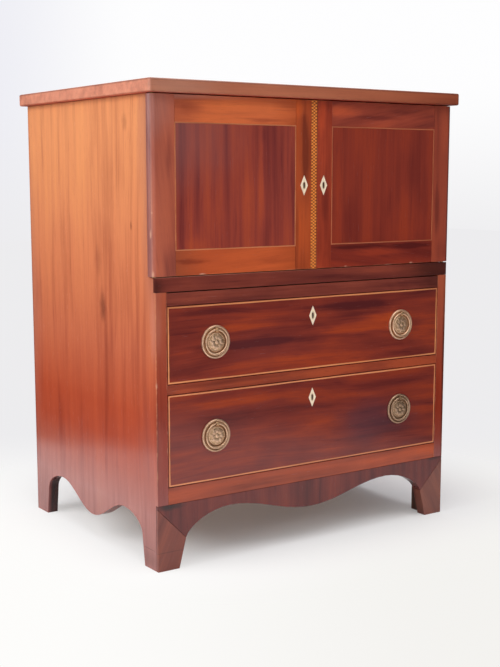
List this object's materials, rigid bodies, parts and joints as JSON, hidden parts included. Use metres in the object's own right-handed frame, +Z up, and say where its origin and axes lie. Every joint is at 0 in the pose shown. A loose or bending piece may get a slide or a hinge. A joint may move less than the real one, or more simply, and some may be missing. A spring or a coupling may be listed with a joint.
{
  "type": "side cabinet",
  "caption": "Inlaid mahogany side cabinet with a two-door cupboard over drawers, ring handles, shaped aprons and bracket feet.",
  "frame": {"origin": "on the floor under the middle of the top board", "axes": "+X to the viewer's right, +Y to the back, +Z up; the doors and drawers face -Y"},
  "size_m": [0.645, 0.482, 0.7819],
  "materials": {
    "mahogany_side": "polished orange-brown mahogany, upright grain",
    "mahogany_frame": "polished red-brown mahogany",
    "mahogany_figured": "dark figured mahogany veneer, polished",
    "inner_wood": "bare pale carcase wood",
    "inlay": "chequered box wood and dark wood inlay",
    "bone": "polished bone",
    "brass": "aged brass",
    "iron": "dull iron"
  },
  "bodies": {
    "case": {"top_board": "mahogany_frame", "side_left": "mahogany_side", "side_right": "mahogany_side", "back_panel": "inner_wood", "cupboard_floor": "inner_wood", "dust_board": "inner_wood", "bottom_board": "inner_wood", "waist_rail": "mahogany_frame", "upper_rail": "mahogany_frame", "middle_rail": "mahogany_frame", "bottom_rail": "mahogany_frame", "front_apron": "mahogany_figured", "foot_facing_left": "mahogany_figured", "foot_facing_right": "mahogany_figured", "glue_block_left": "inner_wood", "glue_block_right": "inner_wood", "pivot_left_top": "brass", "pivot_left_bottom": "brass", "pivot_right_top": "brass", "pivot_right_bottom": "brass"},
    "door_left": {"door_left_hinge_stile": "mahogany_frame", "door_left_meeting_stile": "mahogany_frame", "door_left_top_rail": "mahogany_frame", "door_left_bottom_rail": "mahogany_frame", "door_left_panel": "mahogany_figured", "door_left_escutcheon": "bone", "meeting_band": "inlay"},
    "left_door_bolt": {"left_door_bolt": "brass"},
    "door_right": {"door_right_hinge_stile": "mahogany_frame", "door_right_meeting_stile": "mahogany_frame", "door_right_top_rail": "mahogany_frame", "door_right_bottom_rail": "mahogany_frame", "door_right_panel": "mahogany_figured", "door_right_escutcheon": "bone", "door_lock": "brass"},
    "door_lock_bolt": {"door_lock_bolt": "iron"},
    "drawer_upper": {"drawer_upper_front": "mahogany_figured", "drawer_upper_side_left": "inner_wood", "drawer_upper_side_right": "inner_wood", "drawer_upper_back": "inner_wood", "drawer_upper_bottom": "inner_wood", "drawer_upper_escutcheon": "bone", "drawer_upper_lock": "brass", "drawer_upper_plate_left": "brass", "drawer_upper_plate_right": "brass"},
    "drawer_upper_lock_bolt": {"drawer_upper_lock_bolt": "iron"},
    "drawer_upper_ring_left": {"drawer_upper_ring_left": "brass"},
    "drawer_upper_ring_right": {"drawer_upper_ring_right": "brass"},
    "drawer_lower": {"drawer_lower_front": "mahogany_figured", "drawer_lower_side_left": "inner_wood", "drawer_lower_side_right": "inner_wood", "drawer_lower_back": "inner_wood", "drawer_lower_bottom": "inner_wood", "drawer_lower_escutcheon": "bone", "drawer_lower_lock": "brass", "drawer_lower_plate_left": "brass", "drawer_lower_plate_right": "brass"},
    "drawer_lower_lock_bolt": {"drawer_lower_lock_bolt": "iron"},
    "drawer_lower_ring_left": {"drawer_lower_ring_left": "brass"},
    "drawer_lower_ring_right": {"drawer_lower_ring_right": "brass"}
  },
  "joints": [
    {"name": "door_left_swing", "type": "hinge", "parent": "case", "child": "door_left", "pos_m": [-0.30625, -0.22025, 0.6189], "axis": [0, 0, -1], "range_deg": [0, 165]},
    {"name": "left_door_bolt_slide", "type": "slide", "parent": "door_left", "child": "left_door_bolt", "axis": [0, 0, 1], "range_m": [0, 0.008]},
    {"name": "door_right_swing", "type": "hinge", "parent": "case", "child": "door_right", "pos_m": [0.30625, -0.22025, 0.6189], "axis": [0, 0, 1], "range_deg": [0, 165]},
    {"name": "door_lock_bolt_slide", "type": "slide", "parent": "door_right", "child": "door_lock_bolt", "axis": [-1, 0, 0], "range_m": [0, 0.006]},
    {"name": "drawer_upper_slide", "type": "slide", "parent": "case", "child": "drawer_upper", "axis": [0, -1, 0], "range_m": [0, 0.32]},
    {"name": "drawer_upper_lock_bolt_slide", "type": "slide", "parent": "drawer_upper", "child": "drawer_upper_lock_bolt", "axis": [0, 0, 1], "range_m": [0, 0.006]},
    {"name": "drawer_upper_ring_left_swing", "type": "hinge", "parent": "drawer_upper", "child": "drawer_upper_ring_left", "pos_m": [-0.199, -0.234, 0.38825], "axis": [-1, 0, 0], "range_deg": [0, 100]},
    {"name": "drawer_upper_ring_right_swing", "type": "hinge", "parent": "drawer_upper", "child": "drawer_upper_ring_right", "pos_m": [0.199, -0.234, 0.38825], "axis": [-1, 0, 0], "range_deg": [0, 100]},
    {"name": "drawer_lower_slide", "type": "slide", "parent": "case", "child": "drawer_lower", "axis": [0, -1, 0], "range_m": [0, 0.32]},
    {"name": "drawer_lower_lock_bolt_slide", "type": "slide", "parent": "drawer_lower", "child": "drawer_lower_lock_bolt", "axis": [0, 0, 1], "range_m": [0, 0.006]},
    {"name": "drawer_lower_ring_left_swing", "type": "hinge", "parent": "drawer_lower", "child": "drawer_lower_ring_left", "pos_m": [-0.199, -0.234, 0.2332], "axis": [-1, 0, 0], "range_deg": [0, 100]},
    {"name": "drawer_lower_ring_right_swing", "type": "hinge", "parent": "drawer_lower", "child": "drawer_lower_ring_right", "pos_m": [0.199, -0.234, 0.2332], "axis": [-1, 0, 0], "range_deg": [0, 100]}
  ]
}
